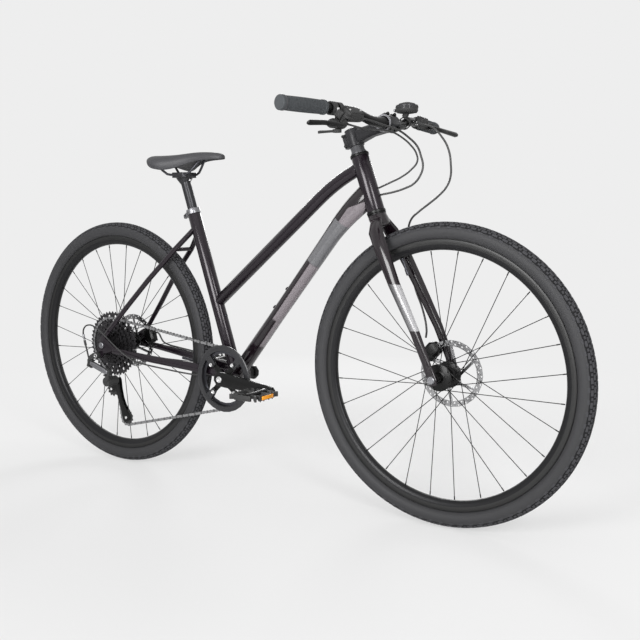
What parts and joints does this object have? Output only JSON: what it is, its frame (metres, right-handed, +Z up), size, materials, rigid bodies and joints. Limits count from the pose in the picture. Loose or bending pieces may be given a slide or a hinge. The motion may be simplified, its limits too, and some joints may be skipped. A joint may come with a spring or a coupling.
{
  "type": "hybrid bicycle",
  "caption": "Diamond-frame hybrid bicycle with a sloping top tube, rigid fork, flat riser bar, disc brakes and a single chainring with a wide cassette.",
  "frame": {"origin": "ground level, midway between the two axles, in the bicycle's middle plane", "axes": "+X forward to the front wheel, +Y to the rider's left, +Z up; the drive side is -Y"},
  "size_m": [1.782, 0.7044, 1.0019],
  "materials": {
    "frame_paint": "gloss",
    "tyre_rubber": "matt",
    "rim_black": "satin",
    "black_alloy": "satin black anodised",
    "black_plastic": "matt",
    "grip_rubber": "textured matt",
    "saddle_cover": "matt synthetic cover",
    "silver_steel": "bright",
    "dark_steel": "dark",
    "grey_alloy": "satin grey",
    "hose": "satin"
  },
  "bodies": {
    "frame": {"head_tube": "frame_paint", "top_tube": "frame_paint", "down_tube": "frame_paint", "seat_tube": "frame_paint", "bottom_bracket_shell": "frame_paint", "bottom_bracket_cartridge": "dark_steel", "chainstay_right": "frame_paint", "chainstay_left": "frame_paint", "seatstay_right": "frame_paint", "seatstay_left": "frame_paint", "seat_clamp": "black_alloy", "rear_axle": "dark_steel", "rear_caliper": "black_alloy", "derailleur_body": "black_alloy", "rear_shift_cable": "hose", "rear_brake_hose": "hose", "chain": "silver_steel"},
    "seatpost": {"seatpost": "black_alloy", "saddle_rails": "black_alloy", "saddle": "saddle_cover"},
    "steering": {"fork": "frame_paint", "headset_spacers": "black_alloy", "stem": "black_alloy", "stem_faceplate": "black_alloy", "handlebar": "black_alloy", "grip_right": "grip_rubber", "grip_left": "grip_rubber", "brake_lever_body_right": "black_alloy", "brake_lever_body_left": "black_alloy", "shifter": "black_plastic", "bell": "black_plastic", "front_axle": "dark_steel", "front_caliper": "black_alloy", "front_brake_hose": "hose", "rear_brake_hose_front": "hose", "shift_cable_front": "hose"},
    "brake_lever_right": {"brake_lever_right": "black_alloy"},
    "brake_lever_left": {"brake_lever_left": "black_alloy"},
    "shift_lever": {"shift_lever": "black_plastic"},
    "bell_striker": {"bell_striker": "black_plastic"},
    "front_wheel": {"front_tyre": "tyre_rubber", "front_rim": "rim_black", "front_hub": "black_alloy", "front_rotor": "silver_steel"},
    "rear_wheel": {"rear_tyre": "tyre_rubber", "rear_rim": "rim_black", "rear_hub": "black_alloy", "rear_rotor": "silver_steel"},
    "cassette": {"cassette": "dark_steel"},
    "crankset": {"crank_right": "black_alloy", "crank_left": "black_alloy", "chainring": "dark_steel", "chain_guard": "black_plastic"},
    "pedal_right": {"pedal_right": "black_plastic"},
    "pedal_left": {"pedal_left": "black_plastic"},
    "derailleur_link": {"derailleur_link": "grey_alloy"},
    "derailleur_knuckle": {"derailleur_knuckle": "black_alloy"},
    "derailleur_cage": {"derailleur_cage": "black_alloy"},
    "guide_pulley": {"guide_pulley": "black_plastic"},
    "tension_pulley": {"tension_pulley": "black_plastic"}
  },
  "joints": [
    {"name": "steering", "type": "hinge", "parent": "frame", "child": "steering", "pos_m": [0.35403, 0, 0.73402], "axis": [-0.3256, 0, 0.9455], "range_deg": [-70, 70], "deforming": ["rear_brake_hose_front", "shift_cable_front"]},
    {"name": "front_wheel_spin", "type": "hinge", "parent": "steering", "child": "front_wheel", "pos_m": [0.533, 0, 0.358], "axis": [0, 1, 0], "continuous": true},
    {"name": "rear_wheel_spin", "type": "hinge", "parent": "frame", "child": "rear_wheel", "pos_m": [-0.533, 0, 0.358], "axis": [0, 1, 0], "continuous": true},
    {"name": "cassette_spin", "type": "hinge", "parent": "frame", "child": "cassette", "pos_m": [-0.533, 0, 0.358], "axis": [0, 1, 0], "continuous": true},
    {"name": "crank_spin", "type": "hinge", "parent": "frame", "child": "crankset", "pos_m": [-0.08696, 0, 0.3], "axis": [0, 1, 0], "continuous": true},
    {"name": "pedal_right_spin", "type": "hinge", "parent": "crankset", "child": "pedal_right", "pos_m": [0.08267, -0.078, 0.28873], "axis": [0, 1, 0], "continuous": true},
    {"name": "pedal_left_spin", "type": "hinge", "parent": "crankset", "child": "pedal_left", "pos_m": [-0.25658, 0.078, 0.31127], "axis": [0, 1, 0], "continuous": true},
    {"name": "seatpost_slide", "type": "slide", "parent": "frame", "child": "seatpost", "axis": [-0.3074, 0, 0.9516], "range_m": [-0.05, 0.12]},
    {"name": "gear_shift", "type": "slide", "parent": "frame", "child": "derailleur_knuckle", "axis": [0, 1, 0], "range_m": [-0.0287, 0.0041], "deforming": ["chain"]},
    {"name": "derailleur_link_swing", "type": "hinge", "parent": "frame", "child": "derailleur_link", "pos_m": [-0.572, -0.0821, 0.302], "axis": [0.3118, 0, 0.9502], "range_deg": [-26, 26]},
    {"name": "cage_swing", "type": "hinge", "parent": "derailleur_knuckle", "child": "derailleur_cage", "pos_m": [-0.515, 0, 0.252], "axis": [0, 1, 0], "range_deg": [-20, 32], "stiffness_Nm_per_rad": 0.8, "deforming": ["chain"]},
    {"name": "guide_pulley_spin", "type": "hinge", "parent": "derailleur_cage", "child": "guide_pulley", "pos_m": [-0.538, -0.0333, 0.222], "axis": [0, 1, 0], "continuous": true},
    {"name": "tension_pulley_spin", "type": "hinge", "parent": "derailleur_cage", "child": "tension_pulley", "pos_m": [-0.48, -0.0333, 0.142], "axis": [0, 1, 0], "continuous": true},
    {"name": "brake_lever_right_pull", "type": "hinge", "parent": "steering", "child": "brake_lever_right", "pos_m": [0.38764, -0.19, 0.9351], "axis": [-0.6561, 0, -0.7547], "range_deg": [0, 16], "stiffness_Nm_per_rad": 0.6},
    {"name": "brake_lever_left_pull", "type": "hinge", "parent": "steering", "child": "brake_lever_left", "pos_m": [0.39559, 0.19, 0.94915], "axis": [0.309, 0, 0.9511], "range_deg": [0, 16], "stiffness_Nm_per_rad": 0.6},
    {"name": "shift_lever_push", "type": "hinge", "parent": "steering", "child": "shift_lever", "pos_m": [0.35394, -0.172, 0.93067], "axis": [0, 0, 1], "range_deg": [0, 30], "stiffness_Nm_per_rad": 0.2},
    {"name": "bell_striker_flick", "type": "hinge", "parent": "steering", "child": "bell_striker", "pos_m": [0.34989, 0.09, 0.98388], "axis": [0, 0, 1], "range_deg": [0, 20], "stiffness_Nm_per_rad": 0.05}
  ],
  "couplings": [
    {"joint": "cassette_spin", "follows": "crank_spin", "ratio": 1.0526},
    {"joint": "tension_pulley_spin", "follows": "crank_spin", "ratio": 3.6364},
    {"joint": "guide_pulley_spin", "follows": "crank_spin", "ratio": -3.6364},
    {"joint": "derailleur_link_swing", "follows": "gear_shift", "rad_per_m": 14.706}
  ]
}
